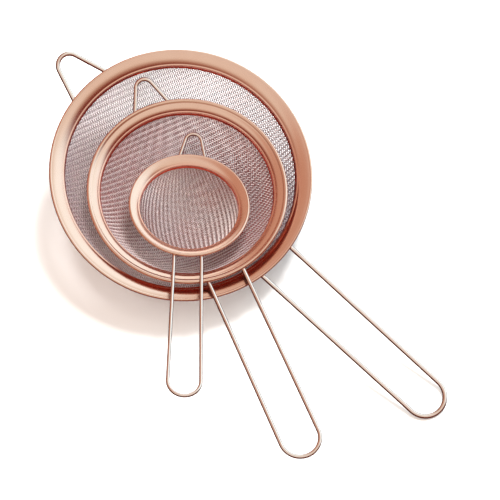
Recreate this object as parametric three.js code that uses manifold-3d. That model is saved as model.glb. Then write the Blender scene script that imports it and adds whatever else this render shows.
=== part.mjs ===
// A nested set of three fine-mesh strainers: large, medium and small, each lying in the next.
// Units are millimetres, +Z is up. The origin is where the large bowl rests on the table,
// and the large handle points along +X.
import * as THREE from 'three';
import * as BufferGeometryUtils from 'three/addons/utils/BufferGeometryUtils.js';
import Module from 'manifold-3d';

const wasm = await Module();
wasm.setup();

// ---------------------------------------------------------------- driving dimensions

const gap = 0.3; // air between two pieces that touch
const nestGap = 0.9; // air between one bowl and the bowl that it lies in
const cloth = 0.7; // thickness of the woven wire cloth
const restCut = 0.45; // how deep the large bowl is flattened where it rests on the table
const tableSize = 60; // side of the block that flattens it there
const clampWall = 1.0; // thickness of the band that grips the cloth's hem
const clampOverlap = 1.2; // how far that band reaches below the collar
const earRise = 13; // how steeply the rest ears point up from the rim, in degrees

const ringSteps = 48; // facets round each rim and bowl
const bowlSteps = 8; // facets from the bottom of a bowl to its hem
const wireSides = 8; // facets round a wire
const bendSteps = 8; // steps round the end of a wire loop
const legSteps = 4; // steps of a wire's leg under the rim
const edgeSteps = 6; // steps round the rolled edge
const cornerSteps = 2; // steps round the corner from the flange to the collar

const weldWidth = 0.5; // a weld bead's half width, as a part of the wire's radius
const weldLength = 2.4; // its length and height, as parts of its width
const weldHeight = 0.8;
const weldNearness = 0.9; // how far it stands from the wire, as a part of its width
const weldSides = 8; // facets round a weld bead
const weldRings = 6; // facets along it

// Each strainer has its own frame: its origin is in the middle of the rim's top edge, and its
// handle points along +X. Depths are below that edge. turn, pitch and roll, in degrees, place
// the frame: turn about +Z, then the handle's end down, then the side up. shift is how far the
// centre of its bowl's sphere lies from the centre of the bowl below, seen from above.
const sizes = {
  large: {
    rimRadius: 100,
    edgeRadius: 0.8,
    sheet: 0.8,
    cornerRadius: 1.3,
    cornerDepth: 5.7,
    collarRadius: 88.2,
    collarDepth: 7.2,
    bowlDepth: 56.3,
    wireRadius: 1.75,
    handleReach: 163.7,
    handleHalfAtRim: 15.8,
    handleHalfAtEnd: 15.3,
    earReach: 28,
    earHalfAtRim: 17.4,
    earLoopRadius: 9.5,
    earLean: 1.2,
    earTurn: 2.0,
    turn: 0,
    pitch: 11.25,
    roll: 2.9,
    shift: [0, 0],
  },
  medium: {
    rimRadius: 76,
    edgeRadius: 0.8,
    sheet: 0.7,
    cornerRadius: 1.2,
    cornerDepth: 5.8,
    collarRadius: 66.0,
    collarDepth: 7.2,
    bowlDepth: 50.8,
    wireRadius: 1.6,
    handleReach: 150,
    handleHalfAtRim: 14.1,
    handleHalfAtEnd: 14.9,
    earReach: 20.5,
    earHalfAtRim: 14.3,
    earLoopRadius: 7.0,
    earLean: 0,
    earTurn: 1.6,
    turn: -25.0,
    pitch: 5.2,
    roll: -1.1,
    shift: [3.0, -3.5],
  },
  small: {
    rimRadius: 46,
    edgeRadius: 0.7,
    sheet: 0.6,
    cornerRadius: 1.1,
    cornerDepth: 4.3,
    collarRadius: 37.4,
    collarDepth: 5.6,
    bowlDepth: 41.3,
    wireRadius: 1.35,
    handleReach: 117.6,
    handleHalfAtRim: 10.2,
    handleHalfAtEnd: 12.1,
    earReach: 17.2,
    earHalfAtRim: 10.1,
    earLoopRadius: 6.3,
    earLean: 0,
    earTurn: 1.6,
    turn: -49.2,
    pitch: -5.8,
    roll: -3.85,
    shift: [4.9, -5.3],
  },
};

const roseGold = { color: 0xd8a184, roughness: 0.18, metalness: 1.0 };
const clothSteel = { color: 0xa6979b, roughness: 0.4, metalness: 0.9 };
const weldSteel = { color: 0xb98a72, roughness: 0.45, metalness: 1.0 };

// ---------------------------------------------------------------- helpers

const radians = THREE.MathUtils.degToRad;

function named(name, geometry, finish) {
  const mesh = new THREE.Mesh(geometry, new THREE.MeshStandardMaterial(finish));
  mesh.name = name;
  return mesh;
}

// A ring or bowl of revolution about +Z, from a profile of [radius, height] points.
function turned(profile) {
  const points = profile.map(([radius, height]) => new THREE.Vector2(radius, height));
  return new THREE.LatheGeometry(points, ringSteps).rotateX(Math.PI / 2);
}

// Points on a circular arc. Angles are in radians from the outward direction, upwards.
function arc(centre, radius, from, to, steps) {
  return Array.from({ length: steps + 1 }, (_, i) => {
    const angle = from + ((to - from) * i) / steps;
    return [centre[0] + radius * Math.cos(angle), centre[1] + radius * Math.sin(angle)];
  });
}

// A path that goes straight from each of its points to the next, one step for each.
class Waypoints extends THREE.Curve {
  constructor(points) {
    super();
    this.points = points;
  }

  getPoint(t, target = new THREE.Vector3()) {
    const place = THREE.MathUtils.clamp(t, 0, 1) * (this.points.length - 1);
    const index = Math.min(Math.floor(place), this.points.length - 2);
    return target.lerpVectors(this.points[index], this.points[index + 1], place - index);
  }

  getPointAt(u, target) {
    return this.getPoint(u, target);
  }

  getTangentAt(u, target) {
    return this.getTangent(u, target);
  }
}

// A round wire bent along a list of points.
function wire(points, radius) {
  const section = new THREE.Shape();
  section.absarc(0, 0, radius, 0, 2 * Math.PI);
  const path = new Waypoints(points);
  const options = { steps: points.length - 1, curveSegments: wireSides / 2, extrudePath: path };
  return new THREE.ExtrudeGeometry(section, options);
}

// The solid of a mesh's geometry, for cutting.
function solidOf(geometry) {
  const bare = geometry.clone();
  bare.deleteAttribute('normal');
  bare.deleteAttribute('uv');
  const merged = BufferGeometryUtils.mergeVertices(bare, 1e-3);
  const vertProperties = new Float32Array(merged.attributes.position.array);
  const triVerts = new Uint32Array(merged.index.array);
  return new wasm.Manifold(new wasm.Mesh({ numProp: 3, vertProperties, triVerts }));
}

function geometryOf(solid) {
  const { vertProperties, triVerts } = solid.getMesh();
  const geometry = new THREE.BufferGeometry();
  geometry.setAttribute('position', new THREE.BufferAttribute(vertProperties, 3));
  geometry.setIndex(new THREE.BufferAttribute(triVerts, 1));
  geometry.computeVertexNormals();
  return geometry;
}

// ---------------------------------------------------------------- the rim, bowl and clamp

// The slope of the flange, which runs tangent from the rolled edge to the inner corner.
function flangeOf(size) {
  const edge = [size.rimRadius - size.edgeRadius, -size.edgeRadius];
  const corner = [size.collarRadius + size.cornerRadius, -size.cornerDepth];
  const across = edge[0] - corner[0];
  const up = edge[1] - corner[1];
  const lean = Math.asin((size.cornerRadius - size.edgeRadius) / Math.hypot(across, up));
  return { edge, corner, slope: Math.atan2(up, across) - lean };
}

function rimProfile(size) {
  const { edge, corner, slope } = flangeOf(size);
  const upright = Math.PI / 2 + slope; // square to the flange, up and inwards
  const inside = Math.acos((size.edgeRadius - size.sheet) / size.edgeRadius);
  const edgeArc = arc(edge, size.edgeRadius, upright + inside - 2 * Math.PI, upright, edgeSteps);
  const cornerArc = arc(corner, size.cornerRadius, upright, Math.PI, cornerSteps);
  const underArc = arc(corner, size.cornerRadius - size.sheet, Math.PI, upright, 1);
  const collar = [
    [size.collarRadius, -size.collarDepth],
    [size.collarRadius + size.sheet, -size.collarDepth],
  ];
  return [...edgeArc, ...cornerArc, ...collar, ...underArc, edgeArc[0]];
}

// The sphere that a bowl is part of, and the radii of its hem behind the collar.
function bowlOf(size) {
  const hemInner = size.collarRadius + size.sheet + gap;
  const hemOuter = hemInner + cloth;
  const hemDepth = size.collarDepth + gap;
  const height = size.bowlDepth - hemDepth;
  const radius = (hemOuter ** 2 + height ** 2) / (2 * height);
  return { hemInner, hemOuter, hemDepth, radius, centre: radius - size.bowlDepth };
}

function bowlProfile(size) {
  const { hemInner, hemOuter, radius, centre } = bowlOf(size);
  const bottom = -Math.PI / 2;
  const outerEnd = bottom + Math.asin(hemOuter / radius);
  const innerEnd = bottom + Math.asin(hemInner / (radius - cloth));
  const outer = arc([0, centre], radius, bottom, outerEnd, bowlSteps);
  const inner = arc([0, centre], radius - cloth, innerEnd, bottom, bowlSteps);
  outer[0][0] = 0;
  inner[bowlSteps][0] = 0;
  const hemTop = -size.cornerDepth;
  return [...outer, [hemOuter, hemTop], [hemInner, hemTop], ...inner];
}

function clampProfile(size) {
  const inner = bowlOf(size).hemOuter + gap;
  const outer = inner + clampWall;
  const top = -size.cornerDepth;
  const bottom = -size.collarDepth - clampOverlap;
  return [
    [inner, bottom],
    [outer, bottom],
    [outer, top],
    [inner, top],
    [inner, bottom],
  ];
}

// ---------------------------------------------------------------- the wires and welds

// The depth, at a given radius, of a line that runs parallel to the flange and below its top.
function depthUnderFlange(size, radius, below) {
  const { edge, slope } = flangeOf(size);
  const atEdge = size.edgeRadius - (size.edgeRadius - below) / Math.cos(slope);
  return atEdge + (edge[0] - radius) * Math.tan(slope);
}

// The radius at which a wire's leg ends, close to the clamp ring.
function legStart(size) {
  return bowlOf(size).hemOuter + gap + clampWall + gap + size.wireRadius;
}

// One leg of a wire loop, from its end under the flange to just past the rim's edge, heading
// outwards along +X at a distance aside from the middle line.
function legUnderRim(size, aside) {
  const underEdge = 2 * size.edgeRadius + gap + size.wireRadius;
  const underSheet = size.sheet + gap + size.wireRadius;
  const points = [];
  for (let i = 0; i <= legSteps; i += 1) {
    const radius = THREE.MathUtils.lerp(legStart(size), size.rimRadius, i / legSteps);
    const depth = Math.max(underEdge, depthUnderFlange(size, radius, underSheet));
    points.push(new THREE.Vector3(Math.sqrt(radius ** 2 - aside ** 2), aside, -depth));
  }
  return points;
}

// The angle at which a straight leg from a point meets a round end tangentially, seen from the
// middle of that end.
function tangentAngle(across, aside, radius) {
  return Math.atan2(aside, across) - Math.acos(radius / Math.hypot(aside, across));
}

// A whole loop of wire along +X: a leg, the round end that both legs run into, and a leg back.
// lean moves the round end sideways, and rise, in degrees, points the loop up from the rim.
function loopPath(size, { halfAtRim, reach, endRadius, lean = 0, rise = 0 }) {
  const leg = legUnderRim(size, halfAtRim);
  const last = leg[legSteps];
  const endCentre = size.rimRadius + reach - endRadius;
  const from = tangentAngle(last.x - endCentre, halfAtRim - lean, endRadius);
  const to = -tangentAngle(last.x - endCentre, halfAtRim + lean, endRadius);
  const bend = arc([endCentre, lean], endRadius, from, to, bendSteps).map(([x, y]) => {
    return new THREE.Vector3(x, y, last.z + (x - last.x) * Math.tan(radians(rise)));
  });
  const back = leg.map((point) => new THREE.Vector3(point.x, -point.y, point.z)).reverse();
  return [...leg, ...bend, ...back];
}

// A weld bead in the corner between a wire's leg and the flange. aside is the leg's distance
// from the middle line, and the bead lies on the leg's outer side.
function weldBead(size, aside) {
  const across = size.wireRadius * weldWidth;
  const bead = new THREE.SphereGeometry(across, weldSides, weldRings);
  bead.scale(weldLength, 1, weldHeight);
  const radius = (legStart(size) + size.rimRadius) / 2;
  const depth = depthUnderFlange(size, radius, size.sheet + gap + across * weldHeight);
  const beside = Math.abs(aside) + size.wireRadius + gap + across * weldNearness;
  bead.rotateY(-flangeOf(size).slope);
  bead.translate(radius, 0, -depth);
  bead.rotateZ(Math.sign(aside) * Math.asin(beside / radius));
  return bead;
}

// ---------------------------------------------------------------- one strainer

function strainer(name, size) {
  const group = new THREE.Group();
  group.name = name;
  group.rotation.set(radians(size.roll), radians(size.pitch), radians(size.turn), 'ZYX');

  group.add(named(`${name}_rim`, turned(rimProfile(size)), roseGold));
  group.add(named(`${name}_mesh_bowl`, turned(bowlProfile(size)), clothSteel));
  group.add(named(`${name}_clamp_ring`, turned(clampProfile(size)), roseGold));

  const handle = new THREE.Group();
  const handleHalf = size.handleHalfAtRim;
  const handlePath = loopPath(size, {
    halfAtRim: handleHalf,
    reach: size.handleReach,
    endRadius: size.handleHalfAtEnd,
  });
  handle.add(named(`${name}_handle_wire`, wire(handlePath, size.wireRadius), roseGold));
  handle.add(named(`${name}_handle_weld_left`, weldBead(size, handleHalf), weldSteel));
  handle.add(named(`${name}_handle_weld_right`, weldBead(size, -handleHalf), weldSteel));
  group.add(handle);

  const ear = new THREE.Group();
  ear.rotation.z = Math.PI - radians(size.earTurn);
  const earHalf = size.earHalfAtRim;
  const earPath = loopPath(size, {
    halfAtRim: earHalf,
    reach: size.earReach,
    endRadius: size.earLoopRadius,
    lean: size.earLean,
    rise: earRise,
  });
  ear.add(named(`${name}_ear_wire`, wire(earPath, size.wireRadius), roseGold));
  ear.add(named(`${name}_ear_weld_left`, weldBead(size, earHalf), weldSteel));
  ear.add(named(`${name}_ear_weld_right`, weldBead(size, -earHalf), weldSteel));
  group.add(ear);
  return group;
}

// ---------------------------------------------------------------- the nested set

const set = new THREE.Group();
set.name = 'nested_strainer_set';

// The centre of each bowl's sphere, from the largest, which stands on the table.
const sphereCentre = new THREE.Vector3(0, 0, bowlOf(sizes.large).radius - restCut);
let below = null;
for (const [name, size] of Object.entries(sizes)) {
  const bowl = bowlOf(size);
  if (below) {
    const apart = bowlOf(below).radius - cloth - nestGap - bowl.radius;
    const [x, y] = size.shift;
    sphereCentre.add(new THREE.Vector3(x, y, -Math.sqrt(apart ** 2 - x ** 2 - y ** 2)));
  }
  const group = strainer(name, size);
  const fromRim = new THREE.Vector3(0, 0, bowl.centre).applyEuler(group.rotation);
  group.position.copy(sphereCentre).sub(fromRim);
  set.add(group);
  below = size;
}

// The large bowl is flat where it stands on the table.
set.updateMatrixWorld(true);
const largeBowl = set.getObjectByName('large_mesh_bowl');
const table = new THREE.BoxGeometry(tableSize, tableSize, tableSize);
table.translate(0, 0, -tableSize / 2);
const standing = solidOf(largeBowl.geometry.clone().applyMatrix4(largeBowl.matrixWorld));
const flattened = geometryOf(standing.subtract(solidOf(table)));
largeBowl.geometry = flattened.applyMatrix4(largeBowl.matrixWorld.clone().invert());

export default set;
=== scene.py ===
"""A nested set of three fine-mesh strainers in rose gold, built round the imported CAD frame.

Every strainer is modelled in its own frame: the origin is in the middle of the rim's top edge,
+X points along its handle and +Z out of its bowl. Lengths are in millimetres until a mesh is made.
"""

import math
import random

import bpy
import numpy as np
from mathutils import Matrix, Vector


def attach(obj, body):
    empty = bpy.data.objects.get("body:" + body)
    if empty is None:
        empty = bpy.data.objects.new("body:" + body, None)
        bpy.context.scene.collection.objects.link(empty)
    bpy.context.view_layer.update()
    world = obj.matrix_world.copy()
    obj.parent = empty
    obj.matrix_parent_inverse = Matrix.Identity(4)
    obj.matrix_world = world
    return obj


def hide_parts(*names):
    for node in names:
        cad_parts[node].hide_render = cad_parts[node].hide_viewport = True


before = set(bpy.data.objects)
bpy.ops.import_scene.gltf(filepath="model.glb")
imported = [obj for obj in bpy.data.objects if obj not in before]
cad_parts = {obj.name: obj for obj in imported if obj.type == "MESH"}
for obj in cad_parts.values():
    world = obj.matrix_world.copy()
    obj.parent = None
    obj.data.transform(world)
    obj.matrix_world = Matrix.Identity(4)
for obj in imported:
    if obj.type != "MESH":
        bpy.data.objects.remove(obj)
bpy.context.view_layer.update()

MM = 0.001
TAU = 2 * math.pi

# ---------------------------------------------------------------- sizes

GAP = 0.3  # air that the CAD solids keep between pieces that touch
CLOTH = 0.7  # thickness of the wire cloth
CLAMP_WALL = 1.0
CLAMP_OVERLAP = 1.2  # how far the clamp ring reaches past the foot of the collar
EAR_RISE = math.radians(13)  # how steeply the ears rise from the rim's plane

# Of the CAD's sheet ring: edge and corner are the radii of its rolled edge and of its inner corner.
# Of the finer ring shown here: curl is the radius of the rolled edge and crease that of the inner
# corner; dome is how far the flange bulges, groove how deep a line runs inside the rolled edge,
# blush how much painted red reflection of the nested rims the flange's inner side gets, and skirt
# and tuck how far the collar reaches down past the CAD's and inwards. Of the cloth: weave is the
# spacing of its wires, strand their radius, inset how far it lies inside the CAD's shell, and lay
# the direction in which they run, seen from above. Of the whole strainer: turn, pitch and roll are
# its tilt.
SIZES = {
    "large": {
        "rim_radius": 100,
        "edge": 0.8,
        "curl": 1.2,
        "sheet": 0.8,
        "corner": 1.3,
        "corner_depth": 5.7,
        "collar_radius": 88.2,
        "collar_depth": 7.2,
        "bowl_depth": 56.3,
        "wire": 1.75,
        "handle_reach": 163.7,
        "handle_half": 15.8,
        "handle_end": 15.3,
        "ear_reach": 28,
        "ear_half": 17.4,
        "ear_end": 9.5,
        "ear_lean": 1.2,
        "ear_turn": 2.0,
        "turn": 0,
        "pitch": 11.25,
        "roll": 2.9,
        "dome": 0.8,
        "skirt": 0.9,
        "tuck": 0.8,
        "crease": 0.75,
        "groove": 0.0,
        "painted_reflection": 0.15,
        "weave": 1.5,
        "strand": 0.33,
        "inset": 0.0,
        "lay": 113,
    },
    "medium": {
        "rim_radius": 76,
        "edge": 0.8,
        "curl": 1.5,
        "sheet": 0.7,
        "corner": 1.2,
        "corner_depth": 5.8,
        "collar_radius": 66.0,
        "collar_depth": 7.2,
        "bowl_depth": 50.8,
        "wire": 1.6,
        "handle_reach": 150,
        "handle_half": 14.1,
        "handle_end": 14.9,
        "ear_reach": 20.5,
        "ear_half": 14.3,
        "ear_end": 7.0,
        "ear_lean": 0,
        "ear_turn": 1.6,
        "turn": -25.0,
        "pitch": 5.2,
        "roll": -1.1,
        "dome": 0.7,
        "skirt": 1.0,
        "tuck": 0.7,
        "crease": 0.75,
        "groove": 0.1,
        "painted_reflection": 0.22,
        "weave": 1.4,
        "strand": 0.31,
        "inset": 0.34,
        "lay": 138,
    },
    "small": {
        "rim_radius": 46,
        "edge": 0.7,
        "curl": 1.3,
        "sheet": 0.6,
        "corner": 1.1,
        "corner_depth": 4.3,
        "collar_radius": 37.4,
        "collar_depth": 5.6,
        "bowl_depth": 41.3,
        "wire": 1.35,
        "handle_reach": 117.6,
        "handle_half": 10.2,
        "handle_end": 12.1,
        "ear_reach": 17.2,
        "ear_half": 10.1,
        "ear_end": 6.3,
        "ear_lean": 0,
        "ear_turn": 1.6,
        "turn": -49.2,
        "pitch": -5.8,
        "roll": -3.85,
        "dome": 0.5,
        "skirt": 1.0,
        "tuck": 0.3,
        "crease": 0.9,
        "groove": 0.0,
        "painted_reflection": 0.22,
        "weave": 1.3,
        "strand": 0.295,
        "inset": 0.34,
        "lay": 55,
    },
}

RING_STEPS = 256  # quads round a rim
WIRE_SIDES = 24  # quads round a handle or ear wire
STRAND_SIDES = 6  # quads round a wire of the cloth

# How fast the polishing lines change round a ring and across its sheet, and round and along a wire.
POLISH_ROUND, POLISH_ACROSS = 0.5, 2.2
POLISH_ABOUT, POLISH_ALONG = 4, 0.12

# ---------------------------------------------------------------- materials


class Nodes:
    """A material's node tree, with short ways to add and join nodes."""

    def __init__(self, name):
        self.material = bpy.data.materials.new(name)
        self.material.use_nodes = True
        self.tree = self.material.node_tree
        self.shader = self.tree.nodes["Principled BSDF"]

    def add(self, kind, inputs=None, **settings):
        node = self.tree.nodes.new(kind)
        for key, value in settings.items():
            setattr(node, key, value)
        for key, value in (inputs or {}).items():
            if isinstance(value, bpy.types.NodeSocket):
                self.tree.links.new(value, node.inputs[key])
            else:
                node.inputs[key].default_value = value
        return node

    def noise(self, vector, scale, detail=3.0, roughness=0.55):
        inputs = {"Vector": vector, "Scale": scale, "Detail": detail, "Roughness": roughness}
        return self.add("ShaderNodeTexNoise", inputs).outputs["Fac"]

    def spread(self, value, low, high, from_low=0.3, from_high=0.7):
        """Maps the useful middle of a noise onto a range."""
        inputs = {
            "Value": value,
            "From Min": from_low,
            "From Max": from_high,
            "To Min": low,
            "To Max": high,
        }
        return self.add("ShaderNodeMapRange", inputs).outputs["Result"]

    def blend(self, factor, a, b):
        node = self.add("ShaderNodeMix", data_type="RGBA")
        self.tree.links.new(factor, node.inputs[0])
        for socket, colour in ((node.inputs[6], a), (node.inputs[7], b)):
            if isinstance(colour, bpy.types.NodeSocket):
                self.tree.links.new(colour, socket)
            else:
                socket.default_value = (*colour, 1)
        return node.outputs[2]

    def bump(self, height, strength, distance):
        inputs = {"Height": height, "Strength": strength, "Distance": distance}
        node = self.add("ShaderNodeBump", inputs)
        self.tree.links.new(node.outputs["Normal"], self.shader.inputs["Normal"])

    def join(self, value, socket):
        self.tree.links.new(value, self.shader.inputs[socket])


ROSE_BRIGHT = (0.91, 0.58, 0.45)
ROSE_DEEP = (0.89, 0.54, 0.41)
# Painted shade and reflection: the deep red of copper mirrored in copper between the nested rims,
# painted onto their inner walls, flanges and undersides.
PAINTED_SHADE_RED = (0.85, 0.13, 0.07)
# Painted shade: the dark tone painted onto a handle or ear wire's flanks and underside.
WIRE_PAINTED_SHADE = (0.30, 0.12, 0.10)


def plated(name, bright, deep, smooth, rough, painted_shade=PAINTED_SHADE_RED):
    """Rose-gold plating: polishing lines along the lay of the metal, and slow shifts of tone.

    hollow is the painted shade tone that it has where the mesh's deep attribute is 1.
    """
    nodes = Nodes(name)
    nodes.shader.inputs["Metallic"].default_value = 1.0
    place = nodes.add("ShaderNodeTexCoord").outputs["Object"]
    lay = nodes.add("ShaderNodeAttribute", attribute_name="lay").outputs["Vector"]
    slow = nodes.noise(place, 38, 2.0)
    lines = nodes.noise(lay, 1.0, 4.0, 0.65)
    specks = nodes.noise(place, 900, 2.0)
    tone = nodes.blend(nodes.spread(slow, 0.0, 1.0), bright, deep)
    worn = nodes.spread(lines, 0.0, 0.35, 0.55, 0.8)
    tone = nodes.blend(worn, tone, [min(1, c * 1.06) for c in bright])
    # Painted shade: where the deep attribute is 1 the tone turns to the painted shade tone.
    painted_amount = nodes.add("ShaderNodeAttribute", attribute_name="deep").outputs["Fac"]
    tone = nodes.blend(nodes.spread(painted_amount, 0.0, 0.96, 0.0, 1.0), tone, painted_shade)
    nodes.join(tone, "Base Color")
    wear = nodes.add("ShaderNodeMath", {0: lines, 1: specks}, operation="ADD").outputs[0]
    nodes.join(nodes.spread(wear, smooth, rough, 0.75, 1.25), "Roughness")
    nodes.bump(lines, 0.02, 0.0001)
    return nodes.material


def woven(name, steel, tint, metallic=0.6):
    """Drawn steel wire with a faint rose tint, partly dulled so that it also takes plain light."""
    nodes = Nodes(name)
    nodes.shader.inputs["Metallic"].default_value = metallic
    place = nodes.add("ShaderNodeTexCoord").outputs["Object"]
    slow = nodes.noise(place, 45, 3.0)
    fine = nodes.noise(place, 1500, 2.0)
    nodes.join(nodes.blend(nodes.spread(slow, 0.0, 1.0), steel, tint), "Base Color")
    nodes.join(nodes.spread(fine, 0.20, 0.32), "Roughness")
    nodes.bump(fine, 0.1, 0.0001)
    return nodes.material


def welded(name):
    """A weld bead: plated over, with ripples and darker heat colours."""
    nodes = Nodes(name)
    nodes.shader.inputs["Metallic"].default_value = 1.0
    place = nodes.add("ShaderNodeTexCoord").outputs["Object"]
    slow = nodes.noise(place, 600, 3.0)
    fine = nodes.noise(place, 2600, 3.0)
    tone = nodes.blend(nodes.spread(slow, 0.0, 1.0), (0.62, 0.36, 0.26), (0.36, 0.24, 0.22))
    nodes.join(tone, "Base Color")
    nodes.join(nodes.spread(fine, 0.3, 0.55), "Roughness")
    nodes.bump(fine, 0.3, 0.0002)
    return nodes.material


def paper(name):
    """The floor: matt white paper with a barely visible grain."""
    nodes = Nodes(name)
    place = nodes.add("ShaderNodeTexCoord").outputs["Object"]
    grain = nodes.noise(place, 6, 4.0)
    tone = nodes.blend(nodes.spread(grain, 0, 1), (0.95, 0.945, 0.94), (0.97, 0.965, 0.96))
    nodes.join(tone, "Base Color")
    nodes.join(nodes.spread(grain, 0.7, 0.85), "Roughness")
    nodes.shader.inputs["Specular IOR Level"].default_value = 0.2
    return nodes.material


rim_metal = plated("rose_gold_rim", ROSE_BRIGHT, ROSE_DEEP, 0.19, 0.25)
wire_metal = plated(
    "rose_gold_wire", (0.93, 0.75, 0.67), (0.90, 0.68, 0.59), 0.10, 0.15, painted_shade=WIRE_PAINTED_SHADE
)
clamp_metal = plated("rose_gold_clamp", (0.84, 0.22, 0.12), (0.80, 0.17, 0.09), 0.20, 0.28)
# Painted light and shade: the warp and the weft are the same steel, painted as a lit copy and a shaded
# copy, so that the twill shows in light and dark stripes.
cloth_metals = {
    "large": (
        woven("wire_warp_painted_light_large", (0.90, 0.82, 0.84), (0.92, 0.78, 0.79)),
        woven("wire_weft_painted_shade_large", (0.26, 0.19, 0.21), (0.30, 0.18, 0.19)),
    ),
    "medium": (
        woven("wire_warp_painted_light_medium", (0.98, 0.88, 0.88), (0.98, 0.83, 0.82), 0.35),
        woven("wire_weft_painted_shade_medium", (0.30, 0.13, 0.12), (0.37, 0.12, 0.11)),
    ),
    "small": (
        woven("wire_warp_painted_light_small", (0.98, 0.90, 0.89), (0.98, 0.85, 0.83), 0.5),
        woven("wire_weft_painted_shade_small", (0.32, 0.20, 0.19), (0.40, 0.19, 0.17)),
    ),
}
weld_metal = welded("weld_bead")

# ---------------------------------------------------------------- meshes


def new_mesh(name, vertices, quads, metal, lay=None, extra=(), deep=None):
    """A smooth-shaded object from arrays of vertices in millimetres and of quads.

    lay is each vertex's place in the polishing lines, and deep how much painted shade it has there.
    """
    mesh = bpy.data.meshes.new(name)
    faces = [tuple(q) for q in np.asarray(quads).tolist()] + [tuple(f) for f in extra]
    mesh.from_pydata((np.asarray(vertices) * MM).tolist(), [], faces)
    mesh.polygons.foreach_set("use_smooth", [True] * len(mesh.polygons))
    if lay is not None:
        attribute = mesh.attributes.new("lay", "FLOAT_VECTOR", "POINT")
        attribute.data.foreach_set("vector", np.asarray(lay, np.float32).ravel())
    if deep is not None:
        attribute = mesh.attributes.new("deep", "FLOAT", "POINT")
        attribute.data.foreach_set("value", np.asarray(deep, np.float32).ravel())
    mesh.materials.append(metal)
    mesh.update()
    piece = bpy.data.objects.new(name, mesh)
    bpy.context.scene.collection.objects.link(piece)
    return piece


def unit(vector):
    return vector / np.linalg.norm(vector, axis=-1, keepdims=True)


def arc(centre, radius, start, end, steps):
    """Points on an arc in the plane of (radius, height), from one angle to another in degrees."""
    angles = np.radians(np.linspace(start, end, steps + 1))
    return np.stack([centre[0] + radius * np.cos(angles), centre[1] + radius * np.sin(angles)], 1)


def hermite(start, leave, end, arrive, steps):
    """A smooth curve between two points, with given directions at both."""
    start, end = np.asarray(start, float), np.asarray(end, float)
    reach = np.linalg.norm(end - start)
    leave, arrive = unit(np.asarray(leave, float)) * reach, unit(np.asarray(arrive, float)) * reach
    t = np.linspace(0, 1, steps + 1)[:, None]
    return (
        (2 * t**3 - 3 * t**2 + 1) * start
        + (t**3 - 2 * t**2 + t) * leave
        + (3 * t**2 - 2 * t**3) * end
        + (t**3 - t**2) * arrive
    )


def direction(degrees):
    return np.array([math.cos(math.radians(degrees)), math.sin(math.radians(degrees))])


def joined(*runs):
    """Curves end to end, without their doubled points."""
    return np.concatenate([runs[0]] + [run[1:] for run in runs[1:]])


def thickened(line, thickness):
    """The closed outline of a sheet that follows a line, with round ends."""
    tangent = unit(np.gradient(line, axis=0))
    normal = np.stack([-tangent[:, 1], tangent[:, 0]], 1)
    half = thickness / 2
    upper, lower = line + normal * half, line - normal * half
    turns = np.radians([45, 90, 135])[:, None]
    far = line[-1] + half * (np.cos(turns) * normal[-1] + np.sin(turns) * tangent[-1])
    near = line[0] - half * (np.cos(turns) * normal[0] + np.sin(turns) * tangent[0])
    return np.concatenate([upper, far, lower[::-1], near])


def lathe(name, outline, metal, steps=RING_STEPS, deep=None):
    """A closed outline of (radius, height) points turned about +Z."""
    radii, heights = outline.T
    area = np.sum(radii * np.roll(heights, -1) - np.roll(radii, -1) * heights)
    deep = np.zeros(len(outline)) if deep is None else deep
    if area < 0:
        outline, deep = outline[::-1], deep[::-1]
    count = len(outline)
    angles = np.arange(steps) * TAU / steps
    cos, sin = np.cos(angles)[:, None], np.sin(angles)[:, None]
    height = np.broadcast_to(outline[:, 1], (steps, count))
    vertices = np.stack([cos * outline[:, 0], sin * outline[:, 0], height], 2).reshape(-1, 3)
    ring, place = np.meshgrid(np.arange(steps), np.arange(count), indexing="ij")
    after, following = (ring + 1) % steps, (place + 1) % count
    corners = [ring * count + place, after * count + place]
    corners += [after * count + following, ring * count + following]
    quads = np.stack(corners, 2).reshape(-1, 4)
    along = np.concatenate([[0], np.cumsum(np.linalg.norm(np.diff(outline, axis=0), axis=1))])
    along = np.broadcast_to(along, (steps, count))
    spread = [np.broadcast_to(part * POLISH_ROUND, (steps, count)) for part in (cos, sin)]
    lay = np.stack([along * POLISH_ACROSS, *spread], 2).reshape(-1, 3)
    return new_mesh(name, vertices, quads, metal, lay, deep=np.broadcast_to(deep, (steps, count)))


# ---------------------------------------------------------------- rim, clamp and cloth


ROLL_FROM = -65  # the direction, in degrees, in which the rolled edge's sheet begins
GROOVE_TURN = 200  # degrees by which the roll turns further for each millimetre of groove
TIGHTEST_BEND = 0.15  # the inner radius of the sheet's sharpest bend
BEFORE_BEND = 1.1  # how far before its inner corner the flange begins to turn
FLANGE_FROM = 0.4  # where the flange's own curve begins, in radii of the rolled edge
GROOVE_WIDTH = 12  # how much later it begins for each millimetre of groove, in the same radii
FOOT_BEND = 1.5  # how strongly the collar's foot follows its tuck

# Where a rim is painted with deep red shade and reflection, in millimetres: from above the inner
# corner's depth down, over a fade, out to a reach beyond the collar; and below the sheet, from inside
# the edge and over a fade.
WALL_TOP, WALL_FADE, WALL_REACH = 0.3, 0.7, 2.5
UNDERSIDE_EDGE, UNDERSIDE_FADE, UNDERSIDE_PAINTED_SHADE = 2.5, 2, 0.8

# The painted red reflection grows from inside the edge towards the collar, slowly at first, by a
# power of the way.
PAINTED_REFLECTION_EDGE, PAINTED_REFLECTION_COLLAR, PAINTED_REFLECTION_POWER = 1.5, 0.5, 4


def flange(size):
    """The edge's centre, the inner corner's centre and the slope of the line between them."""
    edge = np.array([size["rim_radius"] - size["edge"], -size["edge"]])
    corner = np.array([size["collar_radius"] + size["corner"], -size["corner_depth"]])
    across, up = edge - corner
    lean = math.asin((size["corner"] - size["edge"]) / math.hypot(across, up))
    return edge, corner, math.atan2(up, across) - lean


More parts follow.
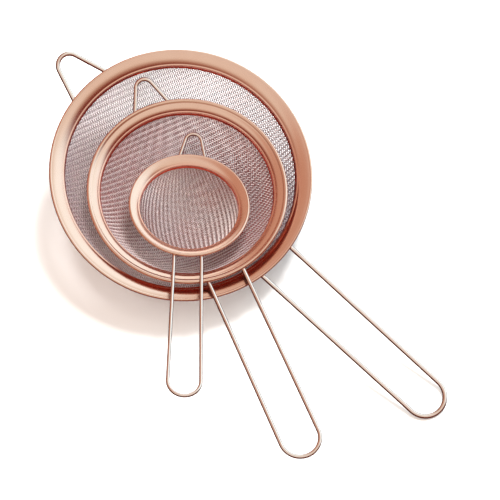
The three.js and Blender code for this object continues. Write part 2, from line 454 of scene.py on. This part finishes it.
def rim_line(size):
    """The middle line of the rim's sheet, from inside the rolled edge to the foot of the collar."""
    sheet, curl, groove = size["sheet"], size["curl"], size["groove"]
    upright = direction(90 + math.degrees(flange(size)[2]))
    roll_centre = np.array([size["rim_radius"] - curl, -curl])
    high = roll_centre + upright * curl
    low = np.array([size["collar_radius"] + size["corner"], -size["corner_depth"]])
    low = low + upright * size["corner"]
    across, up = high - low
    slope = math.degrees(math.atan2(up, across))
    bulge = math.degrees(math.atan(4 * size["dome"] / math.hypot(across, up)))
    leave = slope - bulge + GROOVE_TURN * groove
    edge = arc(roll_centre, curl - sheet / 2, ROLL_FROM, 90 + leave, 26)

    inwards = unit(low - high)
    crease = max(size["crease"], sheet / 2 + TIGHTEST_BEND)
    along = (size["collar_radius"] + crease - low[0] + crease * upright[0]) / inwards[0]
    corner = low + inwards * along
    bend = arc(corner - upright * crease, crease - sheet / 2, 90 + slope, 180, 18)

    first = high + inwards * (FLANGE_FROM + GROOVE_WIDTH * groove) * curl
    first = first - upright * (sheet / 2 + groove)
    last = corner - inwards * BEFORE_BEND - upright * sheet / 2
    outer, inner = direction(180 + slope - bulge), direction(180 + slope + bulge)
    start = hermite(edge[-1], direction(180 + leave), first, outer, 6)
    middle = hermite(first, outer, last, inner, 16)
    end = hermite(last, inner, bend[0], direction(180 + slope), 6)
    tuck, skirt = size["tuck"], size["skirt"]
    foot = [size["collar_radius"] + sheet / 2 - tuck, -size["collar_depth"] - skirt]
    collar = hermite(bend[-1], (0, -1), foot, (-tuck * FOOT_BEND, -skirt - FOOT_BEND), 8)
    return joined(edge, start, middle, end, bend, collar)


def rim_outline(size):
    """The outline of the rim's sheet, and how much painted shade it has at each of its points.

    The deep red is painted shade and reflection, of copper mirrored in copper between the nested
    rims: it is painted on the inner wall, a little on the flange's inner side, and on the underside.
    """
    line = rim_line(size)
    outline = thickened(line, size["sheet"])
    radii, heights = outline.T
    wall = np.clip((WALL_TOP - size["corner_depth"] - heights) / WALL_FADE, 0, 1)
    wall = wall * (radii < size["collar_radius"] + WALL_REACH)
    inner, outer = size["collar_radius"] + PAINTED_REFLECTION_COLLAR, size["rim_radius"] - PAINTED_REFLECTION_EDGE
    inwards = np.clip((outer - radii) / (outer - inner), 0, 1)
    deep = np.maximum(wall, size["painted_reflection"] * inwards**PAINTED_REFLECTION_POWER)
    underside = (size["rim_radius"] - UNDERSIDE_EDGE - line[:, 0]) / UNDERSIDE_FADE
    underside = np.clip(underside, 0, UNDERSIDE_PAINTED_SHADE)
    deep[: len(line)] = np.maximum(deep[: len(line)], underside)
    return outline, deep


def bowl(size):
    """The radii of the cloth's hem, and the sphere that the bowl is part of."""
    hem_inner = size["collar_radius"] + size["sheet"] + GAP
    hem_outer = hem_inner + CLOTH
    hem_depth = size["collar_depth"] + GAP
    height = size["bowl_depth"] - hem_depth
    radius = (hem_outer**2 + height**2) / (2 * height)
    return {
        "hem": (hem_inner + hem_outer) / 2,
        "hem_outer": hem_outer,
        "hem_depth": hem_depth,
        "radius": radius,
        "centre": radius - size["bowl_depth"],
    }


CLAMP_TOP = 0.35  # how far the clamp begins below the inner corner's depth
CLAMP_TRIM = 0.3  # how much shorter it is than the CAD's at its foot
CLAMP_SHEET = 0.7  # its thickness, as a share of the CAD's
FLARE_HEIGHT, FLARE_WIDTH, FLARE_LEAN = 0.9, 0.12, 0.45  # the slight flare at its foot


def clamp_outline(size):
    """The band behind the collar: a flat strip with rounded edges and a slightly flared foot."""
    inner = bowl(size)["hem_outer"] + GAP
    middle = inner + CLAMP_WALL / 2
    top, foot = -size["corner_depth"] - CLAMP_TOP, -size["collar_depth"] - CLAMP_OVERLAP + CLAMP_TRIM
    flare, end = [middle, foot + FLARE_HEIGHT], [middle + FLARE_WIDTH, foot]
    strip = np.linspace([middle, top], flare, 5)
    line = joined(strip, hermite(flare, (0, -1), end, (FLARE_LEAN, -1), 4))
    return thickened(line, CLAMP_WALL * CLAMP_SHEET)


INSET_EASE = 10  # the depth below the collar over which the cloth moves to its inset


def net(size):
    """The crossings of a cloth of straight wires pressed into the bowl, for one quarter of it.

    Every cell keeps four equal sides, so a crossing is the mirror image of the one diagonally
    before it, in the plane through the sphere's centre and its two neighbours.
    """
    shape = bowl(size)
    radius = shape["radius"] - CLOTH / 2
    edge_angle = math.asin(min(1.0, shape["hem"] / radius))
    limit = edge_angle + (size["collar_depth"] + GAP - size["corner_depth"]) / radius
    step = size["weave"] / radius
    count = int(limit / step) + 2
    lowest = math.cos(limit + 1.5 * step)
    grid = {}
    for i in range(count + 1):
        grid[i, 0] = np.array([math.sin(i * step), 0.0, -math.cos(i * step)])
        grid[0, i] = np.array([0.0, math.sin(i * step), -math.cos(i * step)])
    for i in range(1, count + 1):
        for j in range(1, count + 1):
            before, left, under = grid.get((i - 1, j - 1)), grid.get((i - 1, j)), grid.get((i, j - 1))
            if before is None or left is None or under is None or -before[2] < lowest:
                continue
            across = np.cross(left, under)
            across /= np.linalg.norm(across)
            grid[i, j] = before - 2 * np.dot(before, across) * across
    return grid, radius, edge_angle, limit


def on_cloth(points, size, radius, edge_angle):
    """The points of the cloth that unit vectors point to, and the cloth's normals there.

    They lie on the sphere up to the hem, and then straight up behind the collar.
    """
    shape = bowl(size)
    polar = np.arccos(np.clip(-points[:, 2], -1, 1))
    flat = unit(points[:, :2] + 1e-12)
    beyond = np.maximum(polar - edge_angle, 0) * radius
    inside = np.minimum(polar, edge_angle)
    out = np.sin(inside) * radius
    height = shape["centre"] - np.cos(inside) * radius + beyond
    place = np.stack([flat[:, 0] * out, flat[:, 1] * out, height], 1)
    bend = np.where(beyond > 0, math.pi / 2, polar)
    normal = np.stack([flat[:, 0] * np.sin(bend), flat[:, 1] * np.sin(bend), -np.cos(bend)], 1)
    return place, normal


def cloth(name, size, metals):
    """The warp and the weft of the cloth, in a twill that goes over two wires and under two."""
    quarter, radius, edge_angle, limit = net(size)
    reach = max(i for i, _ in quarter)
    turn = math.radians(size["lay"])
    spin = np.array([[math.cos(turn), -math.sin(turn)], [math.sin(turn), math.cos(turn)]])
    highest = math.cos(limit)
    pieces = []
    for across in (False, True):
        vertices, quads, ends = [], [], []
        total = 0
        for i in range(-reach, reach + 1):
            points, signs = [], []
            for j in range(-reach, reach + 1):
                key = (abs(j), abs(i)) if across else (abs(i), abs(j))
                point = quarter.get(key)
                if point is None or -point[2] < highest:
                    continue
                a, b = (j, i) if across else (i, j)
                points.append([math.copysign(point[0], a), math.copysign(point[1], b), point[2]])
                over = (i + j) % 4 < 2
                signs.append(1 if over != across else -1)
            if len(points) < 4:
                continue
            points = np.array(points)
            points[:, :2] = points[:, :2] @ spin.T
            place, normal = on_cloth(points, size, radius, edge_angle)
            below_collar = -place[:, 2] - size["collar_depth"]
            inset = size["inset"] * np.clip(below_collar / INSET_EASE, 0, 1)
            place = place + normal * (np.array(signs) * size["strand"] - inset)[:, None]
            tangent = unit(np.gradient(place, axis=0))
            side = unit(np.cross(tangent, normal))
            lift = np.cross(side, tangent)
            rings = []
            for k in range(STRAND_SIDES):
                angle = TAU * (k + 0.5) / STRAND_SIDES
                rings.append(place + size["strand"] * (math.cos(angle) * side + math.sin(angle) * lift))
            vertices.append(np.stack(rings, 1).reshape(-1, 3))
            count = len(place)
            row, corner = np.meshgrid(np.arange(count - 1), np.arange(STRAND_SIDES), indexing="ij")
            beside = (corner + 1) % STRAND_SIDES
            base = total + row * STRAND_SIDES
            face = [base + corner, base + beside]
            face += [base + STRAND_SIDES + beside, base + STRAND_SIDES + corner]
            quads.append(np.stack(face, 2).reshape(-1, 4))
            last = total + (count - 1) * STRAND_SIDES
            ends.append([total + k for k in range(STRAND_SIDES)][::-1])
            ends.append([last + k for k in range(STRAND_SIDES)])
            total += count * STRAND_SIDES
        part = f"{name}_cloth_{'weft' if across else 'warp'}"
        # The warp takes the painted lit copy of the steel, the weft the painted shaded one.
        metal = metals[across]
        piece = new_mesh(part, np.concatenate(vertices), np.concatenate(quads), metal, extra=ends)
        pieces.append(piece)
    return pieces


# ---------------------------------------------------------------- wires and welds


UNDER_SHEET = 0.1  # air between the rim's sheet and the wires' first ends
LEG_BEND = 1.5  # how far inside the rim's edge a leg bends outwards
LEG_ROUND = 6.0  # from how far before that bend it is rounded
MOST_ROUNDED = 0.45  # the largest share of a straight part that one rounding takes
LOOP_STEPS, STRAIGHT_STEPS = 48, 7  # parts of a loop's round end, and of each leg


def depth_under_flange(size, radius, below):
    """How deep the middle of something lies that keeps a distance below the flange's top."""
    edge, _, slope = flange(size)
    at_edge = size["edge"] - (size["edge"] - below) / math.cos(slope)
    return at_edge + (edge[0] - radius) * math.tan(slope)


def leg_start(size):
    """The radius at which the legs of the wires begin, just outside the clamp ring."""
    return bowl(size)["hem_outer"] + 2 * GAP + CLAMP_WALL + size["wire"]


def rounded(points, reach, steps=6):
    """A path with each of its corners rounded off, from a given distance before it."""
    path = [points[0]]
    for before, corner, after in zip(points, points[1:], points[2:]):
        back, on = before - corner, after - corner
        span = min(reach, MOST_ROUNDED * np.linalg.norm(back), MOST_ROUNDED * np.linalg.norm(on))
        start, end = corner + unit(back) * span, corner + unit(on) * span
        for t in np.linspace(0, 1, steps + 1):
            path.append((1 - t) ** 2 * start + 2 * t * (1 - t) * corner + t**2 * end)
    path.append(points[-1])
    return np.array(path)


def loop_path(size, half, reach, end_radius, lean=0.0, rise=0.0):
    """A loop of wire along +X: a leg from under the rim, the round end, and the leg back.

    lean moves the round end aside, and rise tilts the whole loop upwards.
    """
    under_edge = 2 * size["edge"] + size["wire"] + GAP
    first_radius = leg_start(size)
    first_depth = depth_under_flange(size, first_radius, size["sheet"] + size["wire"] + UNDER_SHEET)
    start = np.array([math.sqrt(first_radius**2 - half**2), half, -first_depth])
    leave_radius = size["rim_radius"] - LEG_BEND
    leave = np.array([math.sqrt(leave_radius**2 - half**2), half, -under_edge])
    end_centre = size["rim_radius"] + reach - end_radius

    def meets(aside):
        """The angle on the round end at which a leg that far aside runs straight into it."""
        across = leave[0] - end_centre
        return math.atan2(aside, across) - math.acos(end_radius / math.hypot(aside, across))

    angles = np.linspace(meets(half - lean), -meets(half + lean), LOOP_STEPS + 1)
    x = end_centre + end_radius * np.cos(angles)
    y = lean + end_radius * np.sin(angles)
    z = leave[2] + (x - leave[0]) * math.tan(rise)
    bend = np.stack([x, y, z], 1)
    mirror = np.array([1, -1, 1])
    leg = rounded(np.array([start, leave, bend[0]]), LEG_ROUND)
    back = rounded(np.array([bend[-1], leave * mirror, start * mirror]), LEG_ROUND)
    straight = np.linspace(leg[-2], bend[0], STRAIGHT_STEPS + 1)[1:-1]
    straight_back = np.linspace(bend[-1], back[1], STRAIGHT_STEPS + 1)[1:-1]
    return np.concatenate([leg[:-1], straight, bend, straight_back, back[1:]])


TIP_ANGLES = (20, 45, 70)  # degrees from a wire's end at which its rounded tip has rings
# A wire's flanks and underside take painted shade: its colour darkens below this height on its round.
FLANK_FROM, FLANK_FADE = 0.84, 0.32  # how low on a wire's side its flank begins, and its fade


def wire(name, path, radius, metal):
    """A round wire along a path, with rounded ends, bright on top and painted dark on the flanks as
    shade.
    """
    tangent = unit(np.gradient(path, axis=0))
    normal = [unit(np.cross(np.cross(tangent[0], [0, 0, 1.0]), tangent[0]))]
    for t in tangent[1:]:
        flat = normal[-1] - np.dot(normal[-1], t) * t
        normal.append(unit(flat))
    normal = np.array(normal)
    side = np.cross(tangent, normal)
    along = np.concatenate([[0], np.cumsum(np.linalg.norm(np.diff(path, axis=0), axis=1))])
    rings = []
    tips = np.radians(TIP_ANGLES)
    for tip in tips:
        place = path[0] - tangent[0] * radius * math.cos(tip)
        rings.append((place, normal[0], side[0], math.sin(tip), 0))
    for i, place in enumerate(path):
        rings.append((place, normal[i], side[i], 1.0, along[i]))
    for tip in tips[::-1]:
        place = path[-1] + tangent[-1] * radius * math.cos(tip)
        rings.append((place, normal[-1], side[-1], math.sin(tip), along[-1]))
    vertices, lay, deep = [], [], []
    for place, up, out, scale, far in rings:
        for k in range(WIRE_SIDES):
            angle = TAU * k / WIRE_SIDES
            cos, sin = math.cos(angle), math.sin(angle)
            vertices.append(place + radius * scale * (cos * up + sin * out))
            about = radius * POLISH_ABOUT
            lay.append((cos * about, sin * about, far * POLISH_ALONG))
            # Painted shade: dark on the flanks and underside, none on top.
            deep.append(min(1.0, max(0.0, (FLANK_FROM - cos) / FLANK_FADE)))
    count = len(rings)
    quads = []
    for i in range(count - 1):
        for k in range(WIRE_SIDES):
            a, b = i * WIRE_SIDES + k, i * WIRE_SIDES + (k + 1) % WIRE_SIDES
            quads.append((a, a + WIRE_SIDES, b + WIRE_SIDES, b))
    last = (count - 1) * WIRE_SIDES
    caps = [[k for k in range(WIRE_SIDES)], [last + k for k in range(WIRE_SIDES)][::-1]]
    return new_mesh(name, vertices, quads, metal, lay, caps, deep)


WELD_LENGTH = 2.4  # half a bead's length, in half widths
WELD_FLATNESS = 0.8
WELD_BLUNTNESS = 0.8  # below 1 its ends are blunter than an ellipse's
WELD_SEAT = 0.9  # how far beside the wire its middle lies, in half widths
WELD_RIPPLES = ((0.05, 16, 0), (0.05, 0, 3), (0.03, 5, 2))  # height, waves along, waves round
WELD_ROWS, WELD_SIDES = 28, 20


def weld(name, size, aside, seed):
    """A bead of weld in the corner between a wire's leg and the flange, with set ripples."""
    chance = random.Random(seed)
    across = size["wire"] * 0.5
    radius = (leg_start(size) + size["rim_radius"]) / 2
    depth = depth_under_flange(size, radius, size["sheet"] + GAP + across * WELD_FLATNESS)
    beside = abs(aside) + size["wire"] + GAP + across * WELD_SEAT
    rows, sides, reach = WELD_ROWS, WELD_SIDES, WELD_LENGTH * across
    waves = [chance.uniform(0, TAU) for _ in WELD_RIPPLES]
    vertices = [(-reach, 0, 0)]
    for i in range(1, rows):
        polar = math.pi * i / rows
        for k in range(sides):
            angle = TAU * k / sides
            ripple = 1
            for (high, along, about), wave in zip(WELD_RIPPLES, waves):
                ripple += high * math.sin(along * polar + about * angle + wave)
            ring = math.sin(polar) ** WELD_BLUNTNESS * across * ripple
            flat = WELD_FLATNESS * ring * math.sin(angle)
            vertices.append((-reach * math.cos(polar), ring * math.cos(angle), flat))
    vertices.append((reach, 0, 0))
    quads = []
    for i in range(rows - 2):
        for k in range(sides):
            a, b = 1 + i * sides + k, 1 + i * sides + (k + 1) % sides
            quads.append((a, a + sides, b + sides, b))
    last = len(vertices) - 1
    base = 1 + (rows - 2) * sides
    fans = [(0, 1 + k, 1 + (k + 1) % sides) for k in range(sides)]
    fans += [(last, base + (k + 1) % sides, base + k) for k in range(sides)]
    slope = flange(size)[2]
    turn = math.copysign(math.asin(beside / radius), aside)
    about, tilt = Matrix.Rotation(turn, 3, "Z"), Matrix.Rotation(-slope, 3, "Y")
    seat = Vector((radius, 0, -depth))
    moved = [tuple(about @ (tilt @ Vector(v) + seat)) for v in vertices]
    return new_mesh(name, moved, quads, weld_metal, extra=fans)


# ---------------------------------------------------------------- the three strainers


def placement(name, size):
    """A strainer's frame: its turn is stated, and its place is measured on the CAD rim."""
    turned = Matrix.Rotation(math.radians(size["turn"]), 3, "Z")
    turned = turned @ Matrix.Rotation(math.radians(size["pitch"]), 3, "Y")
    turned = turned @ Matrix.Rotation(math.radians(size["roll"]), 3, "X")
    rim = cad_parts[f"{name}_rim"].data.vertices
    local = np.array([turned.transposed() @ v.co for v in rim])
    low, high = local.min(0), local.max(0)
    origin = turned @ Vector(((low[0] + high[0]) / 2, (low[1] + high[1]) / 2, high[2]))
    return Matrix.Translation(origin) @ turned.to_4x4()


SETTLE_BAND, SETTLE_AIR = 5, 0.05  # the height that is pressed, and the air left below


def settle(piece):
    """Presses the lowest part of a piece of the large strainer until it just clears the floor."""
    band, air = SETTLE_BAND * MM, SETTLE_AIR * MM
    points = np.empty(len(piece.data.vertices) * 3)
    piece.data.vertices.foreach_get("co", points)
    height = points[2::3]
    squeeze = (band - air) / (band - height.min())
    points[2::3] = np.where(height < band, band - (band - height) * squeeze, height)
    piece.data.vertices.foreach_set("co", points)
    piece.data.update()


def put(piece, place, body, slot, *nodes):
    """Places a piece, ties it to its body and hides the CAD nodes it stands for. slot is not used."""
    piece.data.transform(place)
    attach(piece, body)
    if nodes:
        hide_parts(*nodes)


for name, size in SIZES.items():
    body = f"{name}_strainer"
    place = placement(name, size)
    outline, deep = rim_outline(size)
    rim = lathe(f"{name}_rim_sheet", outline, rim_metal, deep=deep)
    put(rim, place, body, "rose_gold", f"{name}_rim")
    clamp = lathe(f"{name}_clamp_band", clamp_outline(size), clamp_metal, RING_STEPS // 2)
    put(clamp, place, body, "rose_gold", f"{name}_clamp_ring")
    for piece in cloth(name, size, cloth_metals[name]):
        put(piece, place, body, "wire_cloth", f"{name}_mesh_bowl")
        if name == "large":
            settle(piece)
    handle_path = loop_path(size, size["handle_half"], size["handle_reach"], size["handle_end"])
    handle = wire(f"{name}_handle_rod", handle_path, size["wire"], wire_metal)
    put(handle, place, body, "rose_gold", f"{name}_handle_wire")
    if name == "large":
        settle(handle)
    ear_size = size["ear_half"], size["ear_reach"], size["ear_end"], size["ear_lean"]
    ear_path = loop_path(size, *ear_size, EAR_RISE)
    ear = wire(f"{name}_ear_rod", ear_path, size["wire"], wire_metal)
    about = Matrix.Rotation(math.pi - math.radians(size["ear_turn"]), 4, "Z")
    put(ear, place @ about, body, "rose_gold", f"{name}_ear_wire")
    loops = ("handle", size["handle_half"], place), ("ear", size["ear_half"], place @ about)
    for part, half, at in loops:
        for side, sign in (("left", 1), ("right", -1)):
            node = f"{name}_{part}_weld_{side}"
            bead = weld(f"{node}_bead", size, sign * half, f"{name} {part} {side}")
            put(bead, at, body, "weld", node)

# ---------------------------------------------------------------- floor, light and camera

AZIMUTH = math.radians(41.5)
ELEVATION = math.radians(63.8)
DISTANCE = 2.0
LENS = 190.4
AIM = Vector((0.0627, -0.0015, 0.0294))

# Directions as the camera sees them: to the right, and away along the floor.
RIGHT = Vector((math.cos(AZIMUTH), math.sin(AZIMUTH), 0))
AWAY = Vector((-math.sin(AZIMUTH), math.cos(AZIMUTH), 0))
UP = Vector((0, 0, 1))


def floor():
    """A wide sheet of paper, finely divided and flat."""
    count, side = 24, 8000.0
    xs = np.linspace(-side / 2, side / 2, count + 1)
    x, y = np.meshgrid(xs, xs, indexing="ij")
    vertices = np.stack([x, y, np.zeros_like(x)], 2).reshape(-1, 3)
    i, j = np.meshgrid(np.arange(count), np.arange(count), indexing="ij")
    a = i * (count + 1) + j
    quads = np.stack([a, a + count + 1, a + count + 2, a + 1], 2).reshape(-1, 4)
    sheet = new_mesh("floor_paper", vertices, quads, paper("floor_paper"))
    sheet.visible_glossy = False


def softbox(name, towards, distance, width, height, power, colour=(1, 1, 1)):
    """A lamp that lights the floor and the cloth but isn't mirrored in the metal."""
    light = bpy.data.lights.new(name, "AREA")
    light.shape = "RECTANGLE"
    light.size, light.size_y = width, height
    light.energy = power
    light.color = colour
    lamp = bpy.data.objects.new(name, light)
    lamp.location = AIM + towards.normalized() * distance
    lamp.rotation_mode = "QUATERNION"
    lamp.rotation_quaternion = towards.to_track_quat("Z", "Y")
    lamp.visible_glossy = False
    bpy.context.scene.collection.objects.link(lamp)


# What a low camera sees past the floor's edge, in place of the sky that lights the metal.
BACKDROP = (0.80, 0.79, 0.78)

# The sky's colour by the height of a unit direction, and the walls in it: their direction, the
# angles from it at which they have faded out and have their full colour, and that colour.
SKY = (
    (-0.9, (0.26, 0.09, 0.07)),
    (-0.5, (0.22, 0.05, 0.035)),
    (0.3, (0.20, 0.045, 0.03)),
    (0.5, (0.50, 0.35, 0.27)),
    (0.7, (0.84, 0.87, 0.81)),
    (1.0, (0.82, 0.84, 0.80)),
)
WALLS = (
    (RIGHT * 0.12 + AWAY * 0.93 + UP * 0.34, 34, 12, (1.20, 1.36, 1.38)),
    (RIGHT * -0.50 + AWAY * 0.40 + UP * 0.75, 46, 18, (0.60, 0.40, 0.31)),
    (RIGHT * 0.70 + AWAY * 0.60 + UP * 0.32, 50, 26, (1.12, 1.50, 1.66)),
)


def surroundings():
    """A pale ceiling over a dim, warm horizon, with walls round it, for the metal to mirror.

    Cameras see a plain backdrop in its place.
    """
    world = bpy.data.worlds.new("studio")
    world.use_nodes = True
    tree = world.node_tree
    coords = tree.nodes.new("ShaderNodeTexCoord")
    split = tree.nodes.new("ShaderNodeSeparateXYZ")
    tree.links.new(coords.outputs["Generated"], split.inputs[0])
    height = tree.nodes.new("ShaderNodeMapRange")
    height.inputs["From Min"].default_value = -1.0
    tree.links.new(split.outputs["Z"], height.inputs["Value"])
    ramp = tree.nodes.new("ShaderNodeValToRGB")
    while len(ramp.color_ramp.elements) < len(SKY):
        ramp.color_ramp.elements.new(0.5)
    for element, (rise, colour) in zip(ramp.color_ramp.elements, SKY):
        element.position = (rise + 1) / 2
        element.color = (*colour, 1)
    tree.links.new(height.outputs["Result"], ramp.inputs[0])
    total = ramp.outputs[0]
    for towards, outer, inner, colour in WALLS:
        near = tree.nodes.new("ShaderNodeVectorMath")
        near.operation = "DOT_PRODUCT"
        tree.links.new(coords.outputs["Generated"], near.inputs[0])
        near.inputs[1].default_value = towards.normalized()
        fade = tree.nodes.new("ShaderNodeMapRange")
        fade.interpolation_type = "SMOOTHSTEP"
        fade.inputs["From Min"].default_value = math.cos(math.radians(outer))
        fade.inputs["From Max"].default_value = math.cos(math.radians(inner))
        tree.links.new(near.outputs["Value"], fade.inputs["Value"])
        mix = tree.nodes.new("ShaderNodeMix")
        mix.data_type = "RGBA"
        tree.links.new(fade.outputs["Result"], mix.inputs[0])
        tree.links.new(total, mix.inputs[6])
        mix.inputs[7].default_value = (*colour, 1)
        total = mix.outputs[2]
    seen = tree.nodes.new("ShaderNodeMix")
    seen.data_type = "RGBA"
    tree.links.new(tree.nodes.new("ShaderNodeLightPath").outputs["Is Camera Ray"], seen.inputs[0])
    tree.links.new(total, seen.inputs[6])
    seen.inputs[7].default_value = (*BACKDROP, 1)
    tree.links.new(seen.outputs[2], tree.nodes["Background"].inputs[0])
    bpy.context.scene.world = world


floor()
surroundings()
softbox("key", RIGHT * 0.20 + AWAY * 0.34 + UP, 1.7, 0.46, 0.46, power=36)
softbox("fill", RIGHT * -0.1 + AWAY * -0.2 + UP, 2.4, 1.4, 1.4, power=14, colour=(1.0, 0.92, 0.87))
warm = RIGHT * -0.5 + AWAY * -0.75 + UP * 0.6
softbox("warm_fill", warm, 2.4, 1.6, 1.0, power=21, colour=(1.0, 0.84, 0.74))

camera = bpy.data.objects.new("camera", bpy.data.cameras.new("camera"))
camera.data.lens = LENS
camera.data.sensor_width = 36
camera.data.clip_start, camera.data.clip_end = 0.05, 50
towards_camera = (RIGHT.cross(UP) * math.cos(ELEVATION) + UP * math.sin(ELEVATION)).normalized()
camera.location = AIM + towards_camera * DISTANCE
camera.rotation_mode = "QUATERNION"
camera.rotation_quaternion = towards_camera.to_track_quat("Z", "Y")
bpy.context.scene.collection.objects.link(camera)
bpy.context.scene.camera = camera
bpy.context.scene.view_settings.view_transform = "Standard"
